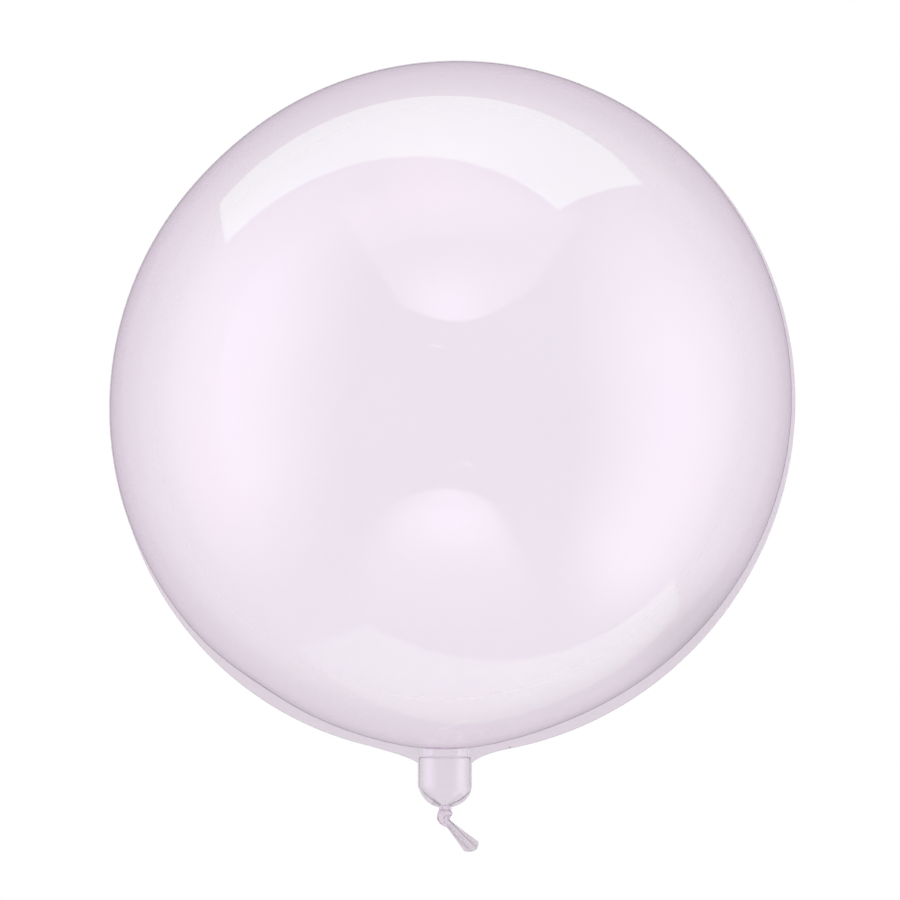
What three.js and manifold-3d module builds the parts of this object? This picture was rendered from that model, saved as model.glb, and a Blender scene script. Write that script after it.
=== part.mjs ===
// A clear bubble balloon, lying down with its neck to -Y: two round films welded flat together at their edge,
// blown up into a slightly lopsided ball, with a short neck that is folded in, knotted and trimmed to a tail.
// Millimetres, +Z up. The origin is the middle of the small flat spot that the balloon lies on.
// "Left" and "right" are towards -X and +X, seen from above with the neck pointing down the page.

import * as THREE from "three";
import { mergeVertices } from "three/addons/utils/BufferGeometryUtils.js";
import Module from "manifold-3d";

// Bubble
const BUBBLE_LONG = 511.6; // widest across, inside the weld
const BUBBLE_SHORT = 501.6; // narrowest across, square to BUBBLE_LONG
const BUBBLE_DEEP = 507; // through the two films, as a full ball
const BUBBLE_TURN = 45; // degrees from +Y to the widest line, clockwise from above
const FLAT_SPOT_RADIUS = 28;
const BELT_HEIGHT = 3; // straight band where the two films meet the weld
const NECK_PULL = 5; // how far the films are drawn out towards the neck
const NECK_PULL_SPREAD = 15; // degrees from the neck over which that dies away

// Weld: a narrow rim of both films all round the bubble, and a broader flat flange on the neck's side
const WELD_THICKNESS = 0.5;
const WELD_RIM = 0.7;
const FLANGE_LONG = 3.2; // the flange's long half-width, less the bubble's
const FLANGE_SHORT = 1; // its short half-width, less the bubble's
const FLANGE_TURN = 32; // degrees, as BUBBLE_TURN
const FLANGE_RIGHT = 2.7; // the flange's middle from the bubble's, to the right
const FLANGE_DOWN = 5.4; // the same, towards the neck

// Neck
const NECK_ANGLE = 180; // degrees clockwise from +Y, so the neck points to -Y
const NECK_LEFT = 4.3; // the neck's axis from the bubble's middle
const NECK_SINK = 19; // how far the neck's solid runs on into the bubble's
const COLLAR_DIAMETER = 35.6; // waist between bubble and neck
const COLLAR_LENGTH = 6;
const COLLAR_SPREAD = 0.4; // how far it widens into the bubble, on each side
const CREASE_DEPTH = 0.7; // of the groove between collar and neck
const CREASE_LENGTH = 2; // of the groove's slope on the collar's side
const NECK_DIAMETER = 38;
const NECK_LENGTH = 21; // from the collar's crease to the first folds
const NECK_SHOULDER = 2; // length of the step from the collar out to the neck
const NECK_SHOULDER_FULLNESS = 0.8; // share of that step taken halfway along it
const NECK_FLANGE = 1.1; // weld strip down each side of the neck
const FLARE_LEFT = 40; // reach of the curve from the flange into the left strip
const FLARE_RIGHT = 30; // the same on the right
const FLARE_CORNER_LEFT = 3.5; // how far outside the strip that curve turns
const FLARE_CORNER_RIGHT = 6;
const FLARE_DROP = 4.5; // how far down the strips it ends, below the collar's crease

// Gather: the neck's end, domed and folded in to the knot
const GATHER_LENGTH = 16.2;
const GATHER_WIDTH = 13.8; // flat width of the folds above the knot
const GATHER_LEFT = 2; // their middle from the neck's axis
const FOLD_LEFT = 5; // where the folds' outer edges turn, in from each strip
const FOLD_RIGHT = 1;
const FOLD_DROP_LEFT = 11; // the same, below the first folds
const FOLD_DROP_RIGHT = 12.5;
const DOME_LENGTH = 15.2;
const DOME_RIGHT = 2.8; // how far the dome leans to the right halfway down
const DOME_END = 0.96; // share of its length at which it is closed, inside the folds
const DOME_TAPER = 2; // power by which it narrows
const DOME_FULLNESS = 0.6; // power by which it stays deeper than wide
const DOME_PLEATS = 9;
const DOME_PLEAT_DEPTH = 0.1; // share of the dome's radius at its tip

// Knot: a pleated strand with one turn of the film wrapped round it
const THROAT_WIDTH = 9.4;
const THROAT_DEPTH = 8;
const THROAT_SINK = 5.6; // how far the strand runs up into the dome
const WAIST_RIGHT = 0.5; // the strand's middle above the knot, from the neck's axis
const WAIST_DROP = 1.8; // from the gather's end to there
const THROAT_PLEATS = 5;
const THROAT_PLEAT_DEPTH = 0.12; // share of the strand's radius
const KNOT_DROP = 6.4; // from the gather's end to the middle of the wrap
const KNOT_LEFT = 0.7; // the wrap's middle from the neck's axis
const WRAP_RADIUS = 3.4;
const WRAP_STRAND = 2.6;
const WRAP_STRETCH = 1.25; // the wrap's breadth along the strand, against its thickness
const WRAP_LEAN = 24; // degrees that the wrap's axis leans to the right of the neck's
const WRAP_TILT = 20; // degrees that it tips down on the upper side
const WRAP_CURL = 0.9; // how far the wrap twists out of its own plane
const TWIST_WIDTH = 6.4; // the strand where it leaves the wrap
const TWIST_DEPTH = 5.2;
const TWIST_END_WIDTH = 3.8; // and where it has spread out into the tail
const TWIST_END_DEPTH = 1.4;
const TWIST_RUN = 3.7; // from the one to the other, to the right and down alike

// Tail: the flattened, pleated end of the neck below the knot
const TAIL_ANGLE = 45; // degrees from the neck's axis to the right
const TAIL_LENGTH = 31.5;
const TAIL_ROOT_WIDTH = 4.4;
const TAIL_END_WIDTH = 12.6;
const TAIL_THICKNESS = 1.1;
const TAIL_PLEATS = 4;
const TAIL_PLEAT_HEIGHT = 1.1;
const TAIL_END_BOW = 0.1; // curve of the trimmed end, per millimetre across
const TAIL_TIP_RIGHT = 1; // where across the end it reaches furthest
const TAIL_RIGHT = 0.3; // the tail's root, under the wrap, from the neck's axis
const TAIL_DROP = 9.8; // the same, below the gather's end

// Fineness of the faceting
const BUBBLE_SIDES = 84;
const BUBBLE_BANDS = 17; // in each half
const FLANGE_STEPS = 96;
const FLARE_STEPS = 6;
const NECK_SIDES = 36;
const THROAT_SIDES = 30;
const DOME_STEPS = 7;
const WRAP_SIDES = 12;
const WRAP_STEPS = 26;
const TAIL_STEPS = 9;
const STRIPS_PER_PLEAT = 2;
const MERGE_DISTANCE = 1e-4; // points closer than this are one
const SEARCH_STEPS = 20; // to find where the flange's edge crosses a line
const SLOPE_STEP = 1; // degrees over which an edge's slope is read

const wasm = await Module();
wasm.setup();

const radians = THREE.MathUtils.degToRad;
const lerp = THREE.MathUtils.lerp;

// Half-width of an ellipse in the direction of an angle, which runs clockwise from +Y.
function ellipseReach(long, short, turn, angle) {
  const along = Math.cos(radians(angle - turn)) / long;
  const across = Math.sin(radians(angle - turn)) / short;
  return 1 / Math.hypot(along, across);
}

const bubbleLongHalf = BUBBLE_LONG / 2;
const bubbleShortHalf = BUBBLE_SHORT / 2;
const bubbleDeepHalf = BUBBLE_DEEP / 2;

// The neck hangs on the bubble's edge, each stretch from the one before it.
const bubbleEdgeY = -ellipseReach(bubbleLongHalf, bubbleShortHalf, BUBBLE_TURN, NECK_ANGLE) - NECK_PULL;
const creaseY = bubbleEdgeY - COLLAR_LENGTH;
const gatherY = creaseY - NECK_LENGTH;
const gatherEndY = gatherY - GATHER_LENGTH;
const neckX = -NECK_LEFT;
const neckRadius = NECK_DIAMETER / 2;
const collarRadius = COLLAR_DIAMETER / 2;
const stripX = neckRadius + NECK_FLANGE;

// The height of the weld above the flat spot
const restHeight = bubbleDeepHalf * Math.sqrt(1 - (FLAT_SPOT_RADIUS / bubbleShortHalf) ** 2);

// A closed three.js geometry as a solid for joining.
function solid(geometry) {
  const bare = geometry.clone();
  bare.deleteAttribute("normal");
  bare.deleteAttribute("uv");
  const merged = mergeVertices(bare, MERGE_DISTANCE);
  const triVerts = new Uint32Array(merged.index.array);
  const vertProperties = merged.attributes.position.array;
  return new wasm.Manifold(new wasm.Mesh({ numProp: 3, vertProperties, triVerts }));
}

// A three.js geometry of a solid.
function geometryOf(body) {
  const mesh = body.getMesh();
  const geometry = new THREE.BufferGeometry();
  geometry.setAttribute("position", new THREE.BufferAttribute(mesh.vertProperties, 3));
  geometry.setIndex(new THREE.BufferAttribute(mesh.triVerts, 1));
  geometry.computeVertexNormals();
  return geometry;
}

// A closed skin through stations, each an outline that runs counter-clockwise in its own plane.
// The stations follow each other along across x up, and the two ends are filled.
function loft(stations) {
  const sides = stations[0].outline.length;
  const position = [];
  const index = [];
  for (const { at, across, up, outline, shift } of stations) {
    const forward = across.clone().cross(up);
    outline.forEach((point, i) => {
      const corner = at.clone().addScaledVector(across, point.x).addScaledVector(up, point.y);
      corner.addScaledVector(forward, shift ? shift[i] : 0);
      position.push(corner.x, corner.y, corner.z);
    });
  }
  for (let station = 0; station < stations.length - 1; station++) {
    for (let side = 0; side < sides; side++) {
      const a = station * sides + side;
      const b = station * sides + ((side + 1) % sides);
      index.push(a, b, b + sides, a, b + sides, a + sides);
    }
  }
  const last = (stations.length - 1) * sides;
  for (const [a, b, c] of THREE.ShapeUtils.triangulateShape(stations[0].outline, [])) {
    index.push(c, b, a);
  }
  for (const [a, b, c] of THREE.ShapeUtils.triangulateShape(stations.at(-1).outline, [])) {
    index.push(last + a, last + b, last + c);
  }
  const geometry = new THREE.BufferGeometry();
  geometry.setAttribute("position", new THREE.Float32BufferAttribute(position, 3));
  geometry.setIndex(index);
  return geometry;
}

// A round or oval outline, with pleats as a share of its radius.
function oval(halfWidth, halfHeight, sides, pleats = 0, pleatDepth = 0) {
  return Array.from({ length: sides }, (_, side) => {
    const angle = (side / sides) * 2 * Math.PI;
    const reach = 1 + pleatDepth * Math.cos(pleats * angle);
    return new THREE.Vector2(halfWidth * reach * Math.cos(angle), halfHeight * reach * Math.sin(angle));
  });
}

// The ball between the flat spot and its top, stretched along its widest line and drawn out at the neck.
function bubble() {
  const profile = [new THREE.Vector2(0, -restHeight)];
  const belt = BELT_HEIGHT / 2;
  const flatAngle = Math.asin(restHeight / bubbleDeepHalf);
  for (let band = 0; band <= BUBBLE_BANDS; band++) {
    const angle = flatAngle * (1 - band / BUBBLE_BANDS);
    const height = Math.max(bubbleDeepHalf * Math.sin(angle), belt);
    profile.push(new THREE.Vector2(bubbleShortHalf * Math.cos(angle), -height));
  }
  for (let band = 0; band < BUBBLE_BANDS; band++) {
    const angle = (band / BUBBLE_BANDS) * (Math.PI / 2);
    const height = Math.max(bubbleDeepHalf * Math.sin(angle), belt);
    profile.push(new THREE.Vector2(bubbleShortHalf * Math.cos(angle), height));
  }
  profile.push(new THREE.Vector2(0, bubbleDeepHalf));
  const ball = new THREE.LatheGeometry(profile, BUBBLE_SIDES);
  ball.rotateX(Math.PI / 2);
  ball.scale(1, bubbleLongHalf / bubbleShortHalf, 1);
  ball.rotateZ(-radians(BUBBLE_TURN));
  const neckward = new THREE.Vector3(neckX, bubbleEdgeY, 0).normalize();
  const places = ball.attributes.position;
  const place = new THREE.Vector3();
  for (let i = 0; i < places.count; i++) {
    place.fromBufferAttribute(places, i);
    const away = THREE.MathUtils.radToDeg(place.angleTo(neckward)) / NECK_PULL_SPREAD;
    place.addScaledVector(neckward, NECK_PULL * Math.exp(-away * away));
    places.setXYZ(i, place.x, place.y, place.z);
  }
  return solid(ball);
}

// The flange's edge at an angle, which runs clockwise from +Y.
function flangeEdge(angle) {
  const reach = ellipseReach(bubbleLongHalf + FLANGE_LONG, bubbleShortHalf + FLANGE_SHORT, FLANGE_TURN, angle);
  const x = FLANGE_RIGHT + reach * Math.sin(radians(angle));
  const y = -FLANGE_DOWN + reach * Math.cos(radians(angle));
  return new THREE.Vector2(x, y);
}

// The angle at which the flange's lower edge is at a given x.
function flangeAngleAt(x) {
  let angle = NECK_ANGLE;
  for (let step = 0; step < SEARCH_STEPS; step++) {
    const edge = flangeEdge(angle);
    angle += THREE.MathUtils.radToDeg((edge.x - x) / -edge.y);
  }
  return angle;
}

// Where the flange's edge, carried on straight from an angle, comes to a given x.
function flareCorner(angle, x) {
  const edge = flangeEdge(angle);
  const ahead = flangeEdge(angle + SLOPE_STEP);
  const slope = (ahead.y - edge.y) / (ahead.x - edge.x);
  return new THREE.Vector2(x, edge.y + slope * (x - edge.x));
}

// A flat outline in the plane of the weld as a plate of the weld's thickness.
function plate(outline) {
  const flat = new THREE.ExtrudeGeometry(outline, {
    depth: WELD_THICKNESS,
    bevelEnabled: false,
    curveSegments: FLARE_STEPS,
  });
  flat.translate(0, 0, -WELD_THICKNESS / 2);
  return solid(flat);
}

// The flat weld: the flange round the bubble, the strips down the neck and the folds above the knot.
function weld() {
  const leftX = neckX - stripX;
  const rightX = neckX + stripX;
  const start = flangeAngleAt(leftX - FLARE_LEFT);
  const end = flangeAngleAt(rightX + FLARE_RIGHT);
  const outline = new THREE.Shape();
  for (let step = 0; step <= FLANGE_STEPS; step++) {
    const edge = flangeEdge(lerp(start, end + 360, step / FLANGE_STEPS));
    if (step === 0) outline.moveTo(edge.x, edge.y);
    else outline.lineTo(edge.x, edge.y);
  }
  const leftCorner = flareCorner(start, leftX - FLARE_CORNER_LEFT);
  const rightCorner = flareCorner(end, rightX + FLARE_CORNER_RIGHT);
  const flareEndY = creaseY - FLARE_DROP;
  const endLeftX = neckX - GATHER_LEFT - GATHER_WIDTH / 2;
  const endRightX = endLeftX + GATHER_WIDTH;
  outline.quadraticCurveTo(rightCorner.x, rightCorner.y, rightX, flareEndY);
  outline.lineTo(rightX, gatherY);
  outline.quadraticCurveTo(rightX - FOLD_RIGHT, gatherY - FOLD_DROP_RIGHT, endRightX, gatherEndY);
  outline.lineTo(endLeftX, gatherEndY);
  outline.quadraticCurveTo(leftX + FOLD_LEFT, gatherY - FOLD_DROP_LEFT, leftX, gatherY);
  outline.lineTo(leftX, flareEndY);
  outline.quadraticCurveTo(leftCorner.x, leftCorner.y, flangeEdge(start).x, flangeEdge(start).y);
  return plate(outline);
}

// The narrow rim that the weld keeps all round.
function rim() {
  const outline = new THREE.Shape();
  for (let step = 0; step < FLANGE_STEPS; step++) {
    const angle = (360 * step) / FLANGE_STEPS;
    const reach = ellipseReach(bubbleLongHalf + WELD_RIM, bubbleShortHalf + WELD_RIM, BUBBLE_TURN, angle);
    const x = reach * Math.sin(radians(angle));
    const y = reach * Math.cos(radians(angle));
    if (step === 0) outline.moveTo(x, y);
    else outline.lineTo(x, y);
  }
  return plate(outline);
}

// A station across the neck: its outline lies in the plane of X and Z, and the next one is towards -Y.
function neckStation(x, y, outline) {
  const at = new THREE.Vector3(x, y, 0);
  return { at, across: new THREE.Vector3(1, 0, 0), up: new THREE.Vector3(0, 0, 1), outline };
}

// The neck's tube, from inside the bubble through the collar and its crease to the folded dome.
function neck() {
  const ring = (y, radius) => neckStation(neckX, y, oval(radius, radius, NECK_SIDES));
  const stations = [
    ring(bubbleEdgeY + NECK_SINK, collarRadius + COLLAR_SPREAD),
    ring(creaseY + CREASE_LENGTH, collarRadius),
    ring(creaseY, collarRadius - CREASE_DEPTH),
    ring(creaseY - NECK_SHOULDER / 2, lerp(collarRadius, neckRadius, NECK_SHOULDER_FULLNESS)),
    ring(creaseY - NECK_SHOULDER, neckRadius),
    ring(gatherY, neckRadius),
  ];
  for (let step = 1; step <= DOME_STEPS; step++) {
    const along = (DOME_END * step) / DOME_STEPS;
    const taper = 1 - along ** DOME_TAPER;
    const width = neckRadius * taper;
    const height = neckRadius * taper ** DOME_FULLNESS;
    const outline = oval(width, height, NECK_SIDES, DOME_PLEATS, DOME_PLEAT_DEPTH * along);
    const x = neckX + DOME_RIGHT * Math.sin(Math.PI * along);
    stations.push(neckStation(x, gatherY - DOME_LENGTH * along, outline));
  }
  return solid(loft(stations));
}

// The pleated strand that the neck is twisted into, from the dome through the wrap to the tail's root.
function throat() {
  const strand = (x, y, width, depth) =>
    neckStation(x, y, oval(width / 2, depth / 2, THROAT_SIDES, THROAT_PLEATS, THROAT_PLEAT_DEPTH));
  const tailX = neckX + TAIL_RIGHT;
  const tailY = gatherEndY - TAIL_DROP;
  return solid(
    loft([
      strand(neckX, gatherEndY + THROAT_SINK, THROAT_WIDTH, THROAT_DEPTH),
      strand(neckX, gatherEndY, THROAT_WIDTH, THROAT_DEPTH),
      strand(neckX + WAIST_RIGHT, gatherEndY - WAIST_DROP, THROAT_WIDTH, THROAT_DEPTH),
      strand(neckX - KNOT_LEFT, gatherEndY - KNOT_DROP, THROAT_WIDTH, THROAT_DEPTH),
      strand(tailX, tailY, TWIST_WIDTH, TWIST_DEPTH),
      strand(tailX + TWIST_RUN, tailY - TWIST_RUN, TWIST_END_WIDTH, TWIST_END_DEPTH),
    ]),
  );
}

// The turn of film wrapped round the strand, curled a little so that its ends cross.
function wrap() {
  const ring = new THREE.TorusGeometry(WRAP_RADIUS, WRAP_STRAND, WRAP_SIDES, WRAP_STEPS);
  ring.scale(1, 1, WRAP_STRETCH);
  const places = ring.attributes.position;
  for (let i = 0; i < places.count; i++) {
    const round = Math.atan2(places.getY(i), places.getX(i));
    places.setZ(i, places.getZ(i) + WRAP_CURL * Math.cos(2 * round));
  }
  ring.rotateX(Math.PI / 2 - radians(WRAP_TILT));
  ring.rotateZ(radians(WRAP_LEAN));
  ring.translate(neckX - KNOT_LEFT, gatherEndY - KNOT_DROP, 0);
  return solid(ring);
}

// The pleated tail, fanning out from under the wrap to its trimmed end.
function tail() {
  const lean = radians(TAIL_ANGLE);
  const forward = new THREE.Vector3(Math.sin(lean), -Math.cos(lean), 0);
  const up = new THREE.Vector3(0, 0, 1);
  const across = up.clone().cross(forward);
  const root = new THREE.Vector3(neckX + TAIL_RIGHT, gatherEndY - TAIL_DROP, 0);
  const strips = TAIL_PLEATS * STRIPS_PER_PLEAT;
  const stations = [];
  for (let step = 0; step <= TAIL_STEPS; step++) {
    const along = step / TAIL_STEPS;
    const width = lerp(TAIL_ROOT_WIDTH, TAIL_END_WIDTH, along);
    const upper = [];
    const lower = [];
    for (let strip = 0; strip <= strips; strip++) {
      const x = width * (strip / strips - 0.5);
      const fade = Math.sin((strip / strips) * Math.PI);
      const rise = (TAIL_PLEAT_HEIGHT * fade * (strip % 2 ? 1 : -1)) / 2;
      upper.unshift(new THREE.Vector2(x, rise + TAIL_THICKNESS / 2));
      lower.push(new THREE.Vector2(x, rise - TAIL_THICKNESS / 2));
    }
    const outline = [...lower, ...upper];
    const shift = outline.map((point) => -TAIL_END_BOW * along * (point.x - TAIL_TIP_RIGHT) ** 2);
    const at = root.clone().addScaledVector(forward, TAIL_LENGTH * along);
    stations.push({ at, across, up, outline, shift });
  }
  return solid(loft(stations));
}

const film = new THREE.MeshStandardMaterial({
  color: 0xeadff0,
  roughness: 0.05,
  metalness: 0,
  transparent: true,
  opacity: 0.35,
});

const forms = [rim(), weld(), neck(), throat(), wrap(), tail()];
const balloon = forms.reduce((whole, form) => whole.add(form), bubble());
const balloonMesh = new THREE.Mesh(geometryOf(balloon), film);
balloonMesh.name = "bubble_balloon";
balloonMesh.position.z = restHeight;

const part = new THREE.Group();
part.add(balloonMesh);

export default part;
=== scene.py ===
# A clear bubble balloon lying on a pale floor: a thin glossy film ball with a flat weld round it,
# a short neck, a knot and a pleated tail. Metres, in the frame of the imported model.
import math

import bpy
import numpy as np
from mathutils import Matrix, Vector, noise


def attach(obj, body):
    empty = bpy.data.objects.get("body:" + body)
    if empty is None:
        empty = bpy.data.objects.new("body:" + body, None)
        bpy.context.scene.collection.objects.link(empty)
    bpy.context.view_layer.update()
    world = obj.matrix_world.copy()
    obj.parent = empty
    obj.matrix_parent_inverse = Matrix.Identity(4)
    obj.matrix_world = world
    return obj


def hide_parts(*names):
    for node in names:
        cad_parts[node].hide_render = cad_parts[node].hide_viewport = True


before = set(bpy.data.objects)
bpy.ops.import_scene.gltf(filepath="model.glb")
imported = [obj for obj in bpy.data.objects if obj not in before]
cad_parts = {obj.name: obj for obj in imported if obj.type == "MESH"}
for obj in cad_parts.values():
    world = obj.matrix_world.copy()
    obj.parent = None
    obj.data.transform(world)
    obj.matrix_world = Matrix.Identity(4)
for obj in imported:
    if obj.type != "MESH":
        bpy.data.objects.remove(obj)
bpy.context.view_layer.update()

MM = 0.001

# Bubble, in millimetres, as in the solid model
BUBBLE_LONG = 511.6
BUBBLE_SHORT = 501.6
BUBBLE_DEEP = 507
BUBBLE_TURN = 45
FLAT_SPOT_RADIUS = 28
NECK_PULL = 5
NECK_PULL_SPREAD = 15
# Small unevenness of the outline: degrees clockwise from +Y, millimetres outwards, spread in degrees
OUTLINE_SWELLS = ((112, 0.8, 28), (214, -2.2, 8), (316, -1.0, 14))
SWELL_HEIGHT = 0.12
SWELL_LENGTH = 90
SWELL_ABOVE_FLOOR = 12

# Weld. Waves of noise, here and below, are (wavelength, seed, height)
WELD_THICKNESS = 0.3
WELD_RIM = 0.7
WELD_OVERLAP = 0.25
WELD_EDGE_THINNING = 0.75
WELD_THINS_FROM = 0.8
RIM_BEAD = 0.3
BEAD_BELOW_WIDTH = 2.5
BEAD_FULL_WIDTH = 1
FLANGE_LONG = 3.2
FLANGE_SHORT = 1
FLANGE_TURN = 32
FLANGE_RIGHT = 2.7
FLANGE_DOWN = 5.4
FLANGE_WAVES = ((16, 2, 0.45), (7, 3, 0.12))
FLANGE_WAVE_WIDTH = 8

# Neck
NECK_ANGLE = 180
NECK_LEFT = 4.3
COLLAR_DIAMETER = 35.6
COLLAR_LENGTH = 6
COLLAR_FLARE = 0.5
COLLAR_PUCKER = 0.3
COLLAR_PUCKERS = 10
PUCKERS_ABOVE_CREASE = 2
NECK_DIAMETER = 38
NECK_LENGTH = 21
NECK_FLANGE = 1.1
NECK_SOFTNESS = 0.12
NECK_LOBES = 3
NECK_TWIST = 0.15
SOFT_BELOW_CREASE = 8
FLARE_LEFT = 40
FLARE_RIGHT = 30
FLARE_CORNER_LEFT = 3.5
FLARE_CORNER_RIGHT = 6
FLARE_DROP = 4.5

# Gather
GATHER_LENGTH = 16.2
GATHER_LEFT = 5.4
GATHER_RIGHT = 4.9
GATHER_PUCKER = 1.5
GATHER_PUCKER_START = 5
GATHER_WAVES = ((6, 6, 1), (2.6, 7, 0.6))
TUCK_DEPTH = 4.5
TUCK_SPREAD = 5
TUCK_LEFT = 1.5
TUCK_UP = 0.5
FOLD_LEFT = 3.4
FOLD_RIGHT = 1
FOLD_DROP_LEFT = 12.5
FOLD_DROP_RIGHT = 12.5
# Folds are a sine to this power
FOLD_SHARPNESS = 0.8
DOME_LENGTH = 15.2
DOME_RIGHT = 1.5
DOME_TAPER = 2.05
DOME_SIDE_TAPER = 0.6
DOME_FOLDS = 7
DOME_FOLD_TWIST = 0.9
DOME_FOLD_TURN = 0.75
# The height of a fold that leaves the dome's outline as it is
DOME_FOLD_MIDDLE = 0.6
DOME_FOLD_DEPTH = 0.11
DOME_END_FOLD_DEPTH = 0.05
DOME_PLEATS = 17
DOME_PLEAT_TURN = 2
DOME_PLEAT_DEPTH = 0.03
DOME_SCALLOPS = 9
DOME_SCALLOP_DEPTH = 0.22
DOME_WAVES = ((5, 8, 0.5), (2.2, 9, 0.25))

# Knot and tail
STRAND_WIDTH = 9.4
STRAND_FOLDS = 5
STRAND_FOLD_DEPTH = 0.24
STRAND_TURN = 0.75
STRAND_TWIST = 0.25
STRAND_ROUNDING = 6
KNOT_DROP = 6.4
KNOT_LEFT = 0.7
WRAP_RADIUS = 3.4
WRAP_BEND = 0.9
WRAP_STRAND = 2.6
WRAP_STRAND_HEIGHT = 1.25
WRAP_RIBS = 3
WRAP_RIB_DEPTH = 0.24
WRAP_RIB_LOW = 0.86
WRAP_RIB_SWAY = 0.5
WRAP_RIB_TURN = 0.4
WRAP_SWELL = 0.08
WRAP_SWELL_TURN = 0.7
WRAP_LEAN = 50
WRAP_TILT = 20
TAIL_ANGLE = 45
TAIL_LENGTH = 31.5
TAIL_ROOT_WIDTH = 4.4
TAIL_END_WIDTH = 12.6
TAIL_THICKNESS = 0.35
TAIL_RIGHT = 0.3
TAIL_DROP = 9.8
TAIL_END_BOW = 0.1
TAIL_CREASE_RIGHT = 2
TAIL_CREASE_LEFT = 2.3
TAIL_SWAY_RIGHT = 0.25
TAIL_SWAY_LEFT = 0.3
TAIL_RIDGE_LEFT = 1.2
TAIL_RIDGE_RIGHT = 1.3
TAIL_PLEAT = 0.16
TAIL_PLEAT_TURNS = 2.7
TAIL_PLEAT_LEAN = 2

long_half = BUBBLE_LONG / 2
short_half = BUBBLE_SHORT / 2
deep_half = BUBBLE_DEEP / 2
rest_height = deep_half * math.sqrt(1 - (FLAT_SPOT_RADIUS / short_half) ** 2)


def reach(long, short, turn, angle):
    """Half-width of an ellipse in the direction of an angle in degrees, clockwise from +Y."""
    along = np.cos(np.radians(angle - turn)) / long
    across = np.sin(np.radians(angle - turn)) / short
    return 1 / np.hypot(along, across)


bubble_edge_y = -reach(long_half, short_half, BUBBLE_TURN, NECK_ANGLE) - NECK_PULL
crease_y = bubble_edge_y - COLLAR_LENGTH
gather_y = crease_y - NECK_LENGTH
gather_end_y = gather_y - GATHER_LENGTH
neck_x = -NECK_LEFT
neck_radius = NECK_DIAMETER / 2
collar_radius = COLLAR_DIAMETER / 2
strip_x = neck_radius + NECK_FLANGE


def smooth(low, high, x):
    """0 up to low, 1 from high on, and a smooth step between; falling where low is above high."""
    t = np.clip((np.asarray(x, float) - low) / (high - low), 0, 1)
    return t * t * (3 - 2 * t)


def wobble(points, wavelength, seed):
    """Smooth noise between -1 and 1 at each point, in millimetres."""
    shift = Vector((seed * 7.3, seed * 3.1, seed * 5.7))
    return np.array([noise.noise(Vector(p) / wavelength + shift) for p in points])


def waves(points, layers):
    """Noise in layers of (wavelength, seed, height), added up."""
    return sum(height * wobble(points, wavelength, seed) for wavelength, seed, height in layers)


def evenly(count):
    """Angles all the way round, in radians."""
    return np.arange(count) * 2 * math.pi / count


def grid_faces(rows, columns, wrapped):
    """Quads of a grid of points, row by row."""
    faces = []
    for row in range(rows - 1):
        for column in range(columns if wrapped else columns - 1):
            a = row * columns + column
            b = row * columns + (column + 1) % columns
            faces.append((a, b, b + columns, a + columns))
    return faces


def add_mesh(name, points, faces, material):
    """A smooth-shaded object from points in millimetres about the weld's plane."""
    mesh = bpy.data.meshes.new(name)
    placed = np.asarray(points, float) * MM
    placed[:, 2] += rest_height * MM
    mesh.from_pydata(placed.tolist(), [], faces)
    mesh.validate()
    mesh.polygons.foreach_set("use_smooth", [True] * len(mesh.polygons))
    mesh.materials.append(material)
    mesh.update()
    piece = bpy.data.objects.new(name, mesh)
    bpy.context.scene.collection.objects.link(piece)
    return piece


# Materials

FILM_IOR = 1.5
# How far edge on the film is seen where its gloss starts to fade and where it is gone
GLOSS_FADES_FROM = 0.68
GLOSS_GONE_AT = 0.86
CLOUD_SCALE = 9
CLOUD_TINT = 0.06
HAZE_LOW = 0.7
HAZE_HIGH = 1.3
RIPPLE_SCALE = 260
RIPPLE_HEIGHT = 0.0006
# Painted dark reflection: the film's colour is made deeper round one place of its rim, standing in for a
# dark reflection there; in metres
DARK_REFLECTION_PLACE = (0.186, -0.173, 0.252)
DARK_REFLECTION_SPREAD = 0.085
DARK_REFLECTION_SQUEEZE = 0.5
DARK_REFLECTION_COLOUR = (0.14, 0, 0.16, 1)

# Sockets of the colour mix node
MIX_AMOUNT = 0
MIX_FROM = 6
MIX_WITH = 7
MIX_RESULT = 2


def add_node(tree, kind, values=None, **settings):
    """A shader node with its settings, and values for its inputs by name or number."""
    node = tree.nodes.new(kind)
    for key, setting in settings.items():
        setattr(node, key, setting)
    for key, value in (values or {}).items():
        node.inputs[key].default_value = value
    return node


def fading_gloss(tree, facing, gloss):
    """The gloss, fading out where the film is seen edge on, so that its outline stays in sight."""
    limits = {"From Min": GLOSS_FADES_FROM, "From Max": GLOSS_GONE_AT, "To Min": gloss, "To Max": 0}
    fade = add_node(tree, "ShaderNodeMapRange", limits)
    tree.links.new(facing, fade.inputs["Value"])
    return fade.outputs["Result"]


def tint_by_facing(tree, facing, tints):
    """The film's colour by how far edge on it is seen."""
    ramp = add_node(tree, "ShaderNodeValToRGB")
    stops = ramp.color_ramp.elements
    while len(stops) < len(tints):
        stops.new(1)
    for stop, (position, colour) in zip(stops, tints):
        stop.position = position
        stop.color = (*colour, 1)
    tree.links.new(facing, ramp.inputs["Fac"])
    return ramp.outputs["Color"]


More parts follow.
